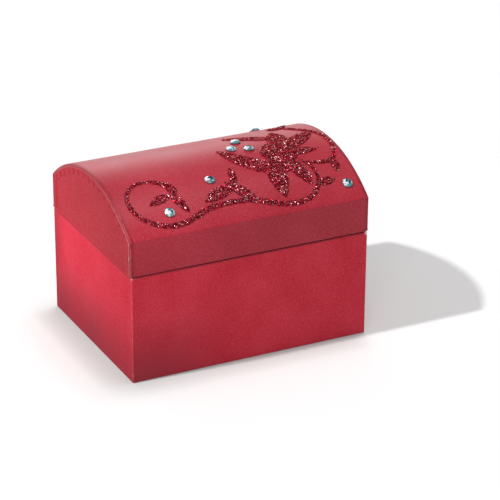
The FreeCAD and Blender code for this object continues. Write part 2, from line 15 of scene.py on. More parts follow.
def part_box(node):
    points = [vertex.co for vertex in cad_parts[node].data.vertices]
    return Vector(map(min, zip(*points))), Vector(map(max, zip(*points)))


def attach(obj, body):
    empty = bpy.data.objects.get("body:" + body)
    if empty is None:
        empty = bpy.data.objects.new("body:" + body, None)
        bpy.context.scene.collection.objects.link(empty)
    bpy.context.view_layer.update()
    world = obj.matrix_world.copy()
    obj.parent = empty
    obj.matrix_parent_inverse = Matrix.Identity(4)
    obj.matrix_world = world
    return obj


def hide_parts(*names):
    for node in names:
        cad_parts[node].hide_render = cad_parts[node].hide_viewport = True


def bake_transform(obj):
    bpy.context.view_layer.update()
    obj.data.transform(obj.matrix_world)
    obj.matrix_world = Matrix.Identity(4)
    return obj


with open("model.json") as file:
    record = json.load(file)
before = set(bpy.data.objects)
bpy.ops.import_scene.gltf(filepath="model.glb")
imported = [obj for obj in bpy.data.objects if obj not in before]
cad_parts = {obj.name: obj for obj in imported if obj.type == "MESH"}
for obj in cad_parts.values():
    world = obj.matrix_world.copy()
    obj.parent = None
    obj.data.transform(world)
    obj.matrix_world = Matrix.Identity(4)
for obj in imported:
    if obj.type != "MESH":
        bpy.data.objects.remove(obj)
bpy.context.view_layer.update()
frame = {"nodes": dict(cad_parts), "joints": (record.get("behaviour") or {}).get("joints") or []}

MM = 0.001

# Planes of the box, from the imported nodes
TRAY_LOW, TRAY_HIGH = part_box("base_wrap")
HALF_LENGTH, HALF_DEPTH, RIM = TRAY_HIGH
UNDER = TRAY_LOW.z
INNER_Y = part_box("base_floor_lining")[1].y
WALL = HALF_DEPTH - INNER_Y
LID_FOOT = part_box("lid_wrap")[0].z
LID_END, _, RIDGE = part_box("lid_wrap")[1]
END_PAPER_LOW, END_PAPER_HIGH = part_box("lid_right_end_paper")
END_INSET = HALF_DEPTH - END_PAPER_HIGH.y
HINGE_LOW, HINGE_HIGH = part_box("hinge_outer_strip")
FOLD_LOW, FOLD_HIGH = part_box("hinge_inner_strip")
SEAM = frame["joints"][0]["pos_m"][2]

# The lid's arch, an arc about an axis along X
CREASE = LID_FOOT + 21.5 * MM
ARCH_RISE = RIDGE - CREASE
ARCH_RADIUS = (HALF_DEPTH**2 + ARCH_RISE**2) / (2 * ARCH_RISE)
ARCH_AXIS = RIDGE - ARCH_RADIUS

# Papers
PAPER = 0.22 * MM
TURN_IN = 15 * MM
TURN_UNDER = 12 * MM
FIT_GAP = 0.3 * MM
TAB_LENGTH = 6 * MM
TAB_ROOT = 1.5 * MM
TAB_PITCH = math.degrees(8 * MM / ARCH_RADIUS)
TABS_EACH_SIDE = 7
TAB_TAPER = 0.3  # share of a tab's width that is gone at its tip

# Roundings, and how close the next row of points lies
TRAY_FOOT_ROUND = 0.5 * MM
RIM_ROUND = 0.7 * MM
TRAY_CORNER = 0.9 * MM
SHARP_CORNER = 0.15 * MM
CREASE_ROUND = 1.3 * MM
LID_END_ROUND = 0.9 * MM
SUPPORT = 0.35 * MM
ARC_STEPS = 6
GRID = 2 * MM
SHARP_ANGLE = math.radians(40)
WELD_GAP = 0.002 * MM


def clamp(value):
    return min(max(value, 0.0), 1.0)


def smooth(low, high, value):
    """0 below low, 1 above high, and an even S between."""
    share = clamp((value - low) / (high - low))
    return share * share * (3 - 2 * share)


def arc(centre, radius, start, end, steps=ARC_STEPS):
    """Points of an arc in a plane, both ends included. Angles in degrees."""
    points = []
    for step in range(steps + 1):
        angle = math.radians(start + (end - start) * step / steps)
        points.append((centre[0] + radius * math.cos(angle), centre[1] + radius * math.sin(angle)))
    return points


def spread(low, high, spacing=GRID, support=SUPPORT):
    """Even places from low to high, with one more close to each end."""
    count = max(round((high - low) / spacing), 1)
    even = [low + (high - low) * step / count for step in range(count + 1)]
    return sorted({*even, low + support, high - support})


def ripple(point, depth, wavelength):
    """Gentle unevenness of pasted paper at a place, from 0 to depth."""
    return depth * (0.5 + 0.5 * noise.noise(Vector(point) / wavelength))


class Net:
    """Points under keys, and faces between them. A face is made only where all of its points exist."""

    def __init__(self):
        self.places = {}
        self.points = []
        self.faces = []

    def put(self, key, point):
        self.places[key] = len(self.points)
        self.points.append(point)

    def face(self, *keys):
        if all(key in self.places for key in keys):
            self.faces.append([self.places[key] for key in keys])

    def grid(self, rows, columns):
        """Faces between neighbouring keys (row, column), facing along row direction x column direction."""
        for row in rows:
            for column in columns:
                self.face((row, column), (row + 1, column), (row + 1, column + 1), (row, column + 1))

    def build(self, name, flip=False):
        faces = [face[::-1] for face in self.faces] if flip else self.faces
        return new_object(name, self.points, faces)


def new_object(name, points, faces):
    mesh = bpy.data.meshes.new(name)
    mesh.from_pydata(points, [], faces)
    piece = bpy.data.objects.new(name, mesh)
    bpy.context.scene.collection.objects.link(piece)
    return piece


def apply_modifiers(piece):
    graph = bpy.context.evaluated_depsgraph_get()
    piece.data = bpy.data.meshes.new_from_object(piece.evaluated_get(graph))
    piece.modifiers.clear()


def merge_seam(piece):
    """Joins the first and the last column of a closed sheet."""
    weld = piece.modifiers.new("weld", "WELD")
    weld.merge_threshold = WELD_GAP
    apply_modifiers(piece)


def thicken(piece, thickness=PAPER):
    """Makes a sheet into a closed shell behind the face that shows, and shades it."""
    solidify = piece.modifiers.new("thickness", "SOLIDIFY")
    solidify.thickness = thickness
    solidify.offset = -1
    apply_modifiers(piece)
    piece.data.shade_smooth()
    piece.data.set_sharp_from_angle(angle=SHARP_ANGLE)
    return piece


def mark(piece, name, measure):
    """Keeps a number from 0 to 1 at every point, for the material to read."""
    attribute = piece.data.attributes.new(name, "FLOAT", "POINT")
    attribute.data.foreach_set("value", [measure(vertex.co) for vertex in piece.data.vertices])


def dress(piece, body, material, slot, *nodes):
    """Gives a finished piece its finish and the body it rides on, and hides the nodes it stands for."""
    piece.data.materials.append(material)
    if nodes:
        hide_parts(*nodes)
    if body:
        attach(piece, body)
    return piece


# Materials


def add(tree, kind, inputs=None, **settings):
    """Adds a shader node. An input is a plain value or another node's output."""
    made = tree.nodes.new(kind)
    for name, value in settings.items():
        setattr(made, name, value)
    for name, value in (inputs or {}).items():
        if isinstance(value, bpy.types.NodeSocket):
            tree.links.new(value, made.inputs[name])
        else:
            made.inputs[name].default_value = value
    return made


def new_material(name):
    """A node material with its Principled shader and the place on the surface, in metres."""
    material = bpy.data.materials.new(name)
    material.use_nodes = True
    tree = material.node_tree
    surface = tree.nodes["Principled BSDF"]
    place = add(tree, "ShaderNodeTexCoord").outputs["Object"]
    return material, tree, surface, place


def cloud(tree, place, wavelength, detail=2.0):
    """Noise of about that wavelength, from 0 to 1."""
    inputs = {"Vector": place, "Scale": 1 / wavelength, "Detail": detail}
    return add(tree, "ShaderNodeTexNoise", inputs).outputs["Fac"]


def remap(tree, value, low, high, to_low, to_high):
    inputs = {"Value": value, "From Min": low, "From Max": high, "To Min": to_low, "To Max": to_high}
    return add(tree, "ShaderNodeMapRange", inputs).outputs["Result"]


def combine(tree, operation, first, second):
    made = add(tree, "ShaderNodeMath", operation=operation)
    for socket, value in zip(made.inputs, (first, second)):
        if isinstance(value, bpy.types.NodeSocket):
            tree.links.new(value, socket)
        else:
            socket.default_value = value
    return made.outputs[0]


def weighted(tree, first, share, second):
    """A share of one value and the rest of another."""
    part = combine(tree, "MULTIPLY", first, share)
    rest = combine(tree, "MULTIPLY", second, 1 - share)
    return combine(tree, "ADD", part, rest)


def shades(tree, share, *stops):
    """A colour between stops (place, colour) by a share from 0 to 1."""
    ramp = add(tree, "ShaderNodeValToRGB", {"Fac": share})
    elements = ramp.color_ramp.elements
    while len(elements) < len(stops):
        elements.new(0.5)
    for element, (position, colour) in zip(elements, stops):
        element.position = position
        element.color = (*colour, 1)
    return ramp.outputs["Color"]


def mixed(tree, share, first, second):
    """A share of the second colour over the first. Each is a plain colour or another node's output."""
    made = add(tree, "ShaderNodeMix", {"Factor": share}, data_type="RGBA")
    sockets = [socket for socket in made.inputs if socket.type == "RGBA"]
    for socket, value in zip(sockets, (first, second)):
        if isinstance(value, bpy.types.NodeSocket):
            tree.links.new(value, socket)
        else:
            socket.default_value = (*value, 1)
    return next(socket for socket in made.outputs if socket.type == "RGBA")


def attribute(tree, name, output="Fac"):
    return add(tree, "ShaderNodeAttribute", attribute_name=name).outputs[output]


def roughen(tree, surface, height, distance, strength=1.0):
    """Bump from a height of 0 to 1 that stands for that distance."""
    inputs = {"Height": height, "Distance": distance, "Strength": strength}
    bump = add(tree, "ShaderNodeBump", inputs)
    tree.links.new(bump.outputs["Normal"], surface.inputs["Normal"])


def finish_with(tree, surface, colour, roughness):
    tree.links.new(colour, surface.inputs["Base Color"])
    tree.links.new(roughness, surface.inputs["Roughness"])


PALE_FIBRE = (0.75, 0.62, 0.6)
PALE_SHARE = 0.052
DYE_CLOUD = 28 * MM
DYE_FIBRE = 1.1 * MM
HAIR = 0.9 * MM
EDGE_PATCH = 4 * MM
TOOTH = 0.35 * MM


def cover_paper(name, dark, light, wear_and_painted_light_range, wear_and_painted_light_tones, painted_shade_tone, roughness, specular):
    """Satin red paper: cloudy dye, fine fibres, edges coloured unevenly by the given tones (real wear on the
    tray, painted shade on the lid, a painted highlight on the end papers) and, where that is given, painted
    shade.
    """
    material, tree, surface, place = new_material(name)
    drift = cloud(tree, place, DYE_CLOUD, 3)
    fibres = cloud(tree, place, DYE_FIBRE, 4)
    tone = weighted(tree, drift, 0.6, fibres)
    hairs = remap(tree, cloud(tree, place, HAIR), 0.45, 0.8, 0.0, PALE_SHARE)
    dye = mixed(tree, hairs, shades(tree, tone, (0.3, dark), (0.7, light)), PALE_FIBRE)
    edge_patches = remap(tree, cloud(tree, place, EDGE_PATCH, 5), 0.5, 0.7, *wear_and_painted_light_range)
    # Edge tones: real wear on the tray, painted shade on the lid's edges, a painted highlight on the end
    # papers' cut edges
    wear_and_painted_light = combine(tree, "MULTIPLY", attribute(tree, "edge"), edge_patches)
    # Painted shade darkens the paper in patches where the mark is set
    if painted_shade_tone:
        patches = remap(tree, drift, 0.3, 0.7, 0.6, 0.85)
        grime = combine(tree, "MULTIPLY", attribute(tree, "grime"), patches)
        dye = mixed(tree, grime, dye, painted_shade_tone)
    edge_colour = shades(tree, wear_and_painted_light, (0.45, wear_and_painted_light_tones[0]), (0.9, wear_and_painted_light_tones[1]))
    colour = mixed(tree, wear_and_painted_light, dye, edge_colour)
    finish_with(tree, surface, colour, remap(tree, tone, 0.3, 0.7, roughness - 0.05, roughness + 0.05))
    surface.inputs["Specular IOR Level"].default_value = specular
    tooth = combine(tree, "MULTIPLY", cloud(tree, place, TOOTH), 0.5)
    grain = combine(tree, "ADD", fibres, tooth)
    roughen(tree, surface, grain, 0.03 * MM, 0.5)
    return material


BOARD_CLOUD = 20 * MM


def plain_paper(name, dark, light, roughness, fleck_size):
    """Matte uncoated paper or board: flecked, with a soft tooth."""
    material, tree, surface, place = new_material(name)
    drift = cloud(tree, place, BOARD_CLOUD, 3)
    flecks = cloud(tree, place, fleck_size, 4)
    tone = weighted(tree, drift, 0.4, flecks)
    colour = shades(tree, tone, (0.3, dark), (0.7, light))
    finish_with(tree, surface, colour, remap(tree, flecks, 0.3, 0.7, roughness - 0.06, roughness + 0.06))
    surface.inputs["Specular IOR Level"].default_value = 0.3
    roughen(tree, surface, flecks, 0.06 * MM, 0.6)
    return material


THREAD = 0.55 * MM
SLUB = 3 * MM


def book_cloth(name, dark, light):
    """Plain-woven cloth, filled with paste: threads both ways, a little uneven."""
    material, tree, surface, place = new_material(name)
    bands = []
    for direction in ("X", "Z"):
        inputs = {"Vector": place, "Scale": 1 / (THREAD * math.pi), "Distortion": 0.6, "Detail": 1.0}
        wave = add(tree, "ShaderNodeTexWave", inputs, wave_type="BANDS", bands_direction=direction)
        bands.append(wave.outputs["Fac"])
    weave = combine(tree, "MAXIMUM", *bands)
    slubs = cloud(tree, place, SLUB, 3)
    tone = weighted(tree, weave, 0.5, slubs)
    colour = shades(tree, tone, (0.25, dark), (0.8, light))
    finish_with(tree, surface, colour, remap(tree, slubs, 0.3, 0.7, 0.66, 0.8))
    surface.inputs["Specular IOR Level"].default_value = 0.3
    roughen(tree, surface, weave, 0.12 * MM, 0.8)
    return material


GLUE_GRAIN = 0.6 * MM
GLUE_DARK, GLUE_RED, GLUE_LIGHT = (0.05, 0.002, 0.006), (0.2, 0.008, 0.02), (0.5, 0.04, 0.07)


def glitter_glue(name):
    """The glue under the glitter, dark red and full of fine grains."""
    material, tree, surface, place = new_material(name)
    grains = add(tree, "ShaderNodeTexVoronoi", {"Vector": place, "Scale": 1 / GLUE_GRAIN})
    share = add(tree, "ShaderNodeSeparateColor", {"Color": grains.outputs["Color"]}).outputs["Red"]
    colour = shades(tree, share, (0.0, GLUE_DARK), (0.7, GLUE_RED), (1.0, GLUE_LIGHT))
    finish_with(tree, surface, colour, remap(tree, share, 0.0, 1.0, 0.35, 0.6))
    surface.inputs["Specular IOR Level"].default_value = 0.15
    roughen(tree, surface, grains.outputs["Distance"], 0.2 * MM, 0.8)
    return material


def glitter_foil(name):
    """Metallised flakes, each with its own tint, from dark maroon to red, with a few pale pink ones as
    painted glints.
    """
    material, tree, surface, place = new_material(name)
    haze = cloud(tree, place, 1.5 * MM)
    finish_with(tree, surface, attribute(tree, "tint", "Color"), remap(tree, haze, 0.3, 0.7, 0.22, 0.34))
    surface.inputs["Metallic"].default_value = 0.9
    surface.inputs["Specular Tint"].default_value = (0.9, 0.25, 0.28, 1)
    roughen(tree, surface, cloud(tree, place, 0.3 * MM), 0.01 * MM, 0.4)
    return material


def glass_with_painted_reflections(name):
    """Cut stones with teal foil behind them: each facet gets a tint, teal from the foil, white towards the
    left light as a painted reflection, and dark at the rim as painted shade.
    """
    material, tree, surface, place = new_material(name)
    haze = cloud(tree, place, 0.8 * MM)
    finish_with(tree, surface, attribute(tree, "tint", "Color"), remap(tree, haze, 0.3, 0.7, 0.04, 0.1))
    surface.inputs["Metallic"].default_value = 0.2
    surface.inputs["Specular IOR Level"].default_value = 0.25
    roughen(tree, surface, haze, 0.004 * MM, 0.3)
    return material


# Edge tones from start to worst (real wear on the tray, painted shade on the lid's edges, a painted
# highlight on the end papers' cut edges), how strongly they show, painted shade tones, and the papers' reds
SCUFFED = ((0.5, 0.13, 0.14), (0.8, 0.55, 0.5))
SHADED_LID_EDGE = ((0.17, 0.005, 0.012), (0.13, 0.004, 0.01))
CUT_EDGE_HIGHLIGHT = ((0.6, 0.2, 0.2), (0.78, 0.42, 0.4))
FAINT, STEADY = (0.04, 0.6), (0.5, 0.9)
TRAY_SHADE_TONE, NOTCH_SHADE_TONE = (0.21, 0.03, 0.041), (0.14, 0.004, 0.009)
# Lit and shaded copies of one red paper: the tray's red is lighter and the lid's and end papers' reds
# darker, painted to match how light falls on each
TRAY_REDS = ((0.4, 0.015, 0.03), (0.51, 0.037, 0.06))
LID_REDS = ((0.265, 0.005, 0.016), (0.337, 0.016, 0.034))
END_REDS = ((0.257, 0.006, 0.013), (0.333, 0.02, 0.034))
# The tray paper carries painted shade, the lid paper painted shade on its edges, and the end paper a painted
# highlight on its cut edge and painted shade in its notches
TRAY_PAPER = cover_paper("tray_cover_paper", *TRAY_REDS, FAINT, SCUFFED, TRAY_SHADE_TONE, 0.5, 0.006)
LID_PAPER = cover_paper("lid_cover_paper", *LID_REDS, STEADY, SHADED_LID_EDGE, None, 0.4, 0.22)
END_PAPER = cover_paper("lid_end_paper", *END_REDS, STEADY, CUT_EDGE_HIGHLIGHT, NOTCH_SHADE_TONE, 0.5, 0.04)
UNDERSIDE_PAPER = plain_paper("underside_paper", (0.28, 0.02, 0.035), (0.38, 0.032, 0.052), 0.72, 0.9 * MM)
GREYBOARD = plain_paper("greyboard", (0.34, 0.31, 0.27), (0.47, 0.44, 0.39), 0.85, 1.4 * MM)
GUMMED_TAPE = plain_paper("gummed_tape", (0.4, 0.28, 0.16), (0.5, 0.37, 0.23), 0.6, 0.8 * MM)
LINING_PAPER = plain_paper("lining_paper", (0.54, 0.495, 0.42), (0.61, 0.57, 0.5), 0.72, 1.0 * MM)
HINGE_CLOTH = book_cloth("hinge_cloth", (0.2, 0.01, 0.018), (0.44, 0.032, 0.05))
HINGE_LINING = book_cloth("hinge_lining", (0.3, 0.015, 0.028), (0.48, 0.035, 0.056))
GLITTER_GLUE = glitter_glue("glitter_glue")
GLITTER_FOIL = glitter_foil("glitter_foil")
RHINESTONE = glass_with_painted_reflections("rhinestone")


# Tray

RIPPLE_DEPTH = 0.1 * MM
RIPPLE_LENGTH = 32 * MM
LAP_EDGE = 50 * MM
LAP_WIDTH = 12 * MM
LAP_HEIGHT = 0.15 * MM
LAP_STEP = 0.06 * MM
RIPPLE_FADE = 6 * MM
RIM_CORNER_WEAR = 16
# Where the tray carries painted shade: towards the foot and the left, along the back edge of its left end,
# and at the top of the rim
SHADED_FOOT = (2 * MM, 46 * MM)
SHADED_LEFT = (-70 * MM, 5 * MM)
SHADED_BACK = (43 * MM, 58 * MM)
SHADED_END = (-75.5 * MM, -70 * MM)
SHADED_RIM = (1.1 * MM, 0.3 * MM)


def lap(x):
    """The wrap's two ends overlap on the back: a soft rise, and a cut edge."""
    if x < LAP_EDGE:
        return 0.0
    return LAP_HEIGHT * smooth(LAP_EDGE + LAP_WIDTH, LAP_EDGE + LAP_WIDTH * 0.6, x)


def tray_profile():
    """The wrap's way from under the floor, up the wall, over the rim and in: inset from the wall, height."""
    foot, rim = TRAY_FOOT_ROUND, RIM_ROUND
    path = [(TURN_UNDER, UNDER), (TURN_UNDER / 2, UNDER), (foot + SUPPORT, UNDER)]
    path += arc((foot, UNDER + foot), foot, 270, 180)
    path += [(0.0, height) for height in spread(UNDER + foot, RIM - rim)[1:-1]]
    path += arc((rim, RIM - rim), rim, 180, 90)
    path += arc((WALL - rim, RIM - rim), rim, 90, 0)
    path += [(WALL, RIM - share * TURN_IN) for share in (0.1, 0.4, 0.7, 1.0)]
    return path


def side_shares(half, extra=()):
    """Places along a side of the tray, as shares of half its straight run."""
    run = half - TRAY_CORNER
    places = spread(-run, run) + list(extra)
    return [place / run for place in sorted(places)]


TRAY_SIDES = (
    (HALF_LENGTH, HALF_DEPTH, side_shares(HALF_LENGTH)),
    (HALF_DEPTH, HALF_LENGTH, side_shares(HALF_DEPTH)),
    (HALF_LENGTH, HALF_DEPTH, side_shares(HALF_LENGTH, (-LAP_EDGE, -LAP_EDGE + LAP_STEP))),
    (HALF_DEPTH, HALF_LENGTH, side_shares(HALF_DEPTH)),
)


def tray_ring(inset, height):
    """One level of the tray's wrap, round the rectangle from its front left corner."""
    radius = max(TRAY_CORNER - inset, SHARP_CORNER)
    fade = 0.0
    if inset == 0:
        fade = smooth(0, RIPPLE_FADE, height - UNDER) * smooth(0, RIPPLE_FADE, RIM - height)
    ring = []
    for quarter, (along, across, shares_along) in enumerate(TRAY_SIDES):
        run = along - inset - radius
        reach = across - inset
        turn = Matrix.Rotation(math.radians(90 * quarter), 3, "Z")
        for share in shares_along:
            point = turn @ Vector((share * run, -reach, height))
            sink = fade * ripple(point, RIPPLE_DEPTH, RIPPLE_LENGTH)
            rise = lap(point.x) if quarter == 2 and inset == 0 else 0.0
            ring.append(point + turn @ Vector((0, sink - rise, 0)))
        for x, y in arc((run, radius - reach), radius, 270, 360)[1:-1]:
            ring.append(turn @ Vector((x, y, height)))
    return ring


def tray_edge(place):
    """1 on the tray's upright and lower edges, much more at the corners of its rim, 0 away from them."""
    near, far = sorted((HALF_LENGTH - abs(place.x), HALF_DEPTH - abs(place.y)))
    fold = min(far, max(near, place.z - UNDER))
    corner = max(far, RIM - place.z)
    worn_corner = RIM_CORNER_WEAR * (1 - smooth(0.4 * MM, 1.5 * MM, corner))
    return 1 - smooth(0.1 * MM, 1.1 * MM, fold) + worn_corner


def tray_painted_shade(place):
    """Painted shade: the paper darker at the top of the rim, along the back edge of the left end, and
    towards the foot, most of all at the left.
    """
    foot = (1 - smooth(*SHADED_FOOT, place.z)) * (1 - smooth(*SHADED_LEFT, place.x))
    back_edge = 0.8 * smooth(*SHADED_BACK, place.y) * (1 - smooth(*SHADED_END, place.x))
    far, near = SHADED_RIM
    seam = smooth(RIM - far, RIM - near, place.z)
    return max(foot, back_edge, seam)


def build_tray_cover():
    rings = [tray_ring(inset, height) for inset, height in tray_profile()]
    count = len(rings[0])
    net = Net()
    for row, ring in enumerate(rings):
        for column in range(count + 1):
            net.put((row, column), ring[column % count])
    net.grid(range(len(rings) - 1), range(count))
    piece = net.build("tray_cover", flip=True)
    merge_seam(piece)
    thicken(piece)
    mark(piece, "edge", tray_edge)
    # Painted shade at the foot, along the back of the left end and at the rim
    mark(piece, "grime", tray_painted_shade)
    dress(piece, "base", TRAY_PAPER, "cover_paper", "base_wrap")


# Lid

LID_RIPPLE = 0.12 * MM
LID_RIPPLE_FADE = 8 * MM
TAB_STEPS = 8
TAB_SHARES = (0.35, 0.7, 1.0)


def on_arch(angle, inset=0.0):
    """A place on the lid's arch in section, by its angle from the ridge in degrees."""
    radius = ARCH_RADIUS - inset
    return radius * math.sin(math.radians(angle)), ARCH_AXIS + radius * math.cos(math.radians(angle))


def lid_half_section():
    """Half of the cover's section at the back, from inside to the ridge: (y, z), normal's angle, kind."""
    edge = RIM_ROUND
    section = []
    for share in (1.0, 0.7, 0.4, 0.1):
        section.append(((INNER_Y, LID_FOOT + share * TURN_IN), 180, "inside"))
    for start, centre_y, kind in ((180, INNER_Y + edge, "inside"), (270, HALF_DEPTH - edge, "wall")):
        for step, point in enumerate(arc((centre_y, LID_FOOT + edge), edge, start, start + 90)):
            section.append((point, start + 90 * step / ARC_STEPS, kind))
    centre_y = HALF_DEPTH - CREASE_ROUND
    centre_z = ARCH_AXIS + math.sqrt((ARCH_RADIUS - CREASE_ROUND) ** 2 - centre_y**2)
    for height in spread(LID_FOOT + edge, centre_z)[1:-1]:
        section.append(((HALF_DEPTH, height), 360, "wall"))
    spring = math.degrees(math.atan2(centre_z - ARCH_AXIS, centre_y))
    for step, point in enumerate(arc((centre_y, centre_z), CREASE_ROUND, 0, spring)):
        section.append((point, 360 + spring * step / ARC_STEPS, "crease"))
    first_tab = TAB_PITCH * TABS_EACH_SIDE
    for share in (0.7, 0.35):
        angle = first_tab + share * (90 - spring - first_tab)
        section.append((on_arch(angle), 450 - angle, "crease"))
    for step in range(TABS_EACH_SIDE * TAB_STEPS + 1):
        angle = first_tab - step * TAB_PITCH / TAB_STEPS
        section.append((on_arch(angle), 450 - angle, "arch"))
    return section


def lid_section():
    """The whole section, from the inside of the back over the arch to the inside of the front."""
    half = lid_half_section()
    front = [((-y, z), 540 - angle, kind) for (y, z), angle, kind in reversed(half[:-1])]
    return half + front


def end_columns():
    """The cover's way round a lid's end: reach from the middle, and inset from the outline."""
    fold = arc((LID_END - LID_END_ROUND, LID_END_ROUND), LID_END_ROUND, 270, 360, 5)
    return fold[1:] + [(LID_END, 1.2 * MM), (LID_END, TAB_ROOT)]


def put_tabs(net, section, root, side):
    """Folded flaps on one end: one beside each upright, and a tapering tab for each pitch of the arch."""
    walls = [row for row, (_, _, kind) in enumerate(section) if kind == "wall"]
    arch = [row for row, (_, _, kind) in enumerate(section) if kind == "arch"]
    half = len(walls) // 2
    flaps = [(walls[:half], None), (walls[half:], None)]
    for tab in range(2 * TABS_EACH_SIDE):
        first = arch[0] + tab * TAB_STEPS
        middle = TAB_PITCH * (TABS_EACH_SIDE - tab - 0.5)
        flaps.append((list(range(first, first + TAB_STEPS + 1)), middle))
    for flap, (flap_rows, middle) in enumerate(flaps):
        columns = [root]
        for step, share in enumerate(TAB_SHARES, start=1):
            column = root + side * step
            inset = TAB_ROOT + share * (TAB_LENGTH - TAB_ROOT)
            for row in flap_rows:
                (y, z), _, _ = section[row]
                if middle is None:
                    place = (y - math.copysign(inset, y), z)
                else:
                    own = math.degrees(math.atan2(y, z - ARCH_AXIS))
                    place = on_arch(middle + (own - middle) * (1 - TAB_TAPER * share), inset)
                net.put((row, column, flap), Vector((side * LID_END, *place)))
            columns.append(column)
        for row in flap_rows[:-1]:
            for column, after in zip(columns, columns[1:]):
                ends = (row, row + 1)
                here = [(end, column) if column == root else (end, column, flap) for end in ends]
                there = [(end, after, flap) for end in ends]
                order = (here[0], here[1], there[1], there[0])
                net.face(*(order if side > 0 else order[::-1]))


def lid_edge(place):
    """Painted shade along the lid's folded edges: 1 on them, 0 away from them."""
    outward = max(abs(place.y) - HALF_DEPTH, math.hypot(place.y, place.z - ARCH_AXIS) - ARCH_RADIUS)
    ends = max(LID_END - abs(place.x), -outward)
    crease = math.hypot(HALF_DEPTH - abs(place.y), place.z - CREASE)
    foot = max(place.z - LID_FOOT, HALF_DEPTH - abs(place.y))
    bands = ((ends, 1.0, 3.0 * MM), (crease, 0.1, 1.2 * MM), (foot, 0.5, 1.2 * MM))
    return max(strength * (1 - smooth(0.4 * width, width, gap)) for gap, strength, width in bands)


def build_lid_cover():
    section = lid_section()
    inner_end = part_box("lid_arch_lining")[1].x
    run = LID_END - LID_END_ROUND
    stations = sorted({*spread(-run, run), -inner_end, inner_end})
    last = len(stations) - 1
    net = Net()
    for row, ((y, z), angle, kind) in enumerate(section):
        outward = Vector((0, math.cos(math.radians(angle)), math.sin(math.radians(angle))))
        for column, x in enumerate(stations):
            if kind == "inside" and abs(x) > inner_end and z > LID_FOOT + RIM_ROUND:
                continue
            point = Vector((x, y, z))
            if kind == "arch":
                fade = smooth(0, LID_RIPPLE_FADE, run - abs(x))
                point -= outward * fade * ripple(point, LID_RIPPLE, RIPPLE_LENGTH)
            net.put((row, column), point)
        if kind == "inside":
            continue
        for step, (reach, inset) in enumerate(end_columns(), start=1):
            inward = Vector((0, y, z)) - outward * inset
            net.put((row, last + step), Vector((reach, inward.y, inward.z)))
            net.put((row, -step), Vector((-reach, inward.y, inward.z)))
    beyond = len(end_columns())
    net.grid(range(len(section) - 1), range(-beyond, last + beyond))
    put_tabs(net, section, last + beyond, 1)
    put_tabs(net, section, -beyond, -1)
    piece = thicken(net.build("lid_cover"))
    # Painted shade: a dark band along the lid's rounded ends, weaker at its foot and crease
    mark(piece, "edge", lid_edge)
    dress(piece, "lid", LID_PAPER, "cover_paper", "lid_wrap")


# End papers

END_SINK = 0.4 * MM
END_SOFT = 0.26 * MM
END_SPACING = 0.5 * MM
CUT_WOBBLE = 0.15 * MM
CUT_WOBBLE_LENGTH = 5 * MM
CUT_CURL = 0.1 * MM
CUT_CURL_REACH = 0.25 * MM
END_RIPPLE = 0.04 * MM
END_RIPPLE_LENGTH = 14 * MM


def tab_inset(y, z):
    """How far a place on an end lies in from the outline: from the arch, and from the nearest edge."""
    from_arch = ARCH_RADIUS - math.hypot(y, z - ARCH_AXIS)
    return from_arch, min(from_arch, HALF_DEPTH - abs(y))


def tab_notch(y, z):
    """1 in the notches between the tabs on an end, 0 elsewhere."""
    from_arch, inset = tab_inset(y, z)
    turn = math.degrees(math.atan2(y, z - ARCH_AXIS)) / TAB_PITCH
    if inset < from_arch or abs(turn) > TABS_EACH_SIDE + 0.3:
        return 0.0
    tab_width = ARCH_RADIUS * math.radians(TAB_PITCH)
    from_notch = abs(turn - round(turn)) * tab_width
    gap = TAB_TAPER * tab_width / 2 * clamp((inset - TAB_ROOT) / (TAB_LENGTH - TAB_ROOT))
    return smooth(gap + END_SOFT, gap * 0.3, from_notch) * smooth(TAB_ROOT, TAB_ROOT + 1.2 * MM, inset)


def tab_relief(y, z):
    """How far an end paper sinks between and beyond the tabs under it: 0 on a tab, 1 off it."""
    inset = tab_inset(y, z)[1]
    beyond = smooth(TAB_LENGTH - END_SOFT, TAB_LENGTH + END_SOFT, inset)
    return max(beyond, tab_notch(y, z))


def end_paper_columns():
    """Each upright line of an end paper: its place across, its top, and whether it turns in at the rim."""
    half = END_PAPER_HIGH.y
    columns = []
    for y in spread(-half, half, END_SPACING, 0.15 * MM):
        top = ARCH_AXIS + math.sqrt((ARCH_RADIUS - END_INSET) ** 2 - y * y)
        top -= ripple((0, y, 0), CUT_WOBBLE, CUT_WOBBLE_LENGTH)
        columns.append((y, top, abs(y) <= INNER_Y - FIT_GAP))
    return columns


def end_paper_heights(top):
    """Heights of an end paper's rows, close together near its upper edge and even below."""
    low = LID_FOOT + RIM_ROUND
    near = [0.0, 0.06, 0.15, 0.3, *(0.6 + 0.4 * step for step in range(20))]
    upper = [top - drop * MM for drop in near]
    rows = 12
    even = [low + (upper[-1] - low) * step / rows for step in range(1, rows)]
    return even + upper[::-1]


def end_paper_hook():
    """The paper's way from inside the lid under its rim to the outer face: reach from the middle, height."""
    edge = RIM_ROUND
    inner = END_PAPER_LOW.x
    path = [(inner, LID_FOOT + share * TURN_IN) for share in (1.0, 0.7, 0.4, 0.1)]
    path += arc((inner + edge, LID_FOOT + edge), edge, 180, 270)
    path += arc((END_PAPER_HIGH.x - edge, LID_FOOT + edge), edge, 270, 360)
    return path


def end_paper_edge(place):
    """Painted highlight along an end paper's cut edge: up to 1 at the edge, most at the front, and 0 away
    from it.
    """
    arch = ARCH_RADIUS - END_INSET - math.hypot(place.y, place.z - ARCH_AXIS)
    cut = min(arch, END_PAPER_HIGH.y - abs(place.y))
    frontward = 0.35 + 0.65 * smooth(0.1, 0.8, -place.y / HALF_DEPTH)
    return frontward * (1 - smooth(0.15 * MM, 0.55 * MM, cut))


def end_paper_notch_shade(place):
    """Painted shade in the hollows between the tabs, but not where they run out near the middle of the end.
    """
    inset = tab_inset(place.y, place.z)[1]
    return 0.6 * tab_notch(place.y, place.z) * (1 - smooth(TAB_LENGTH - 1.5 * MM, TAB_LENGTH, inset))


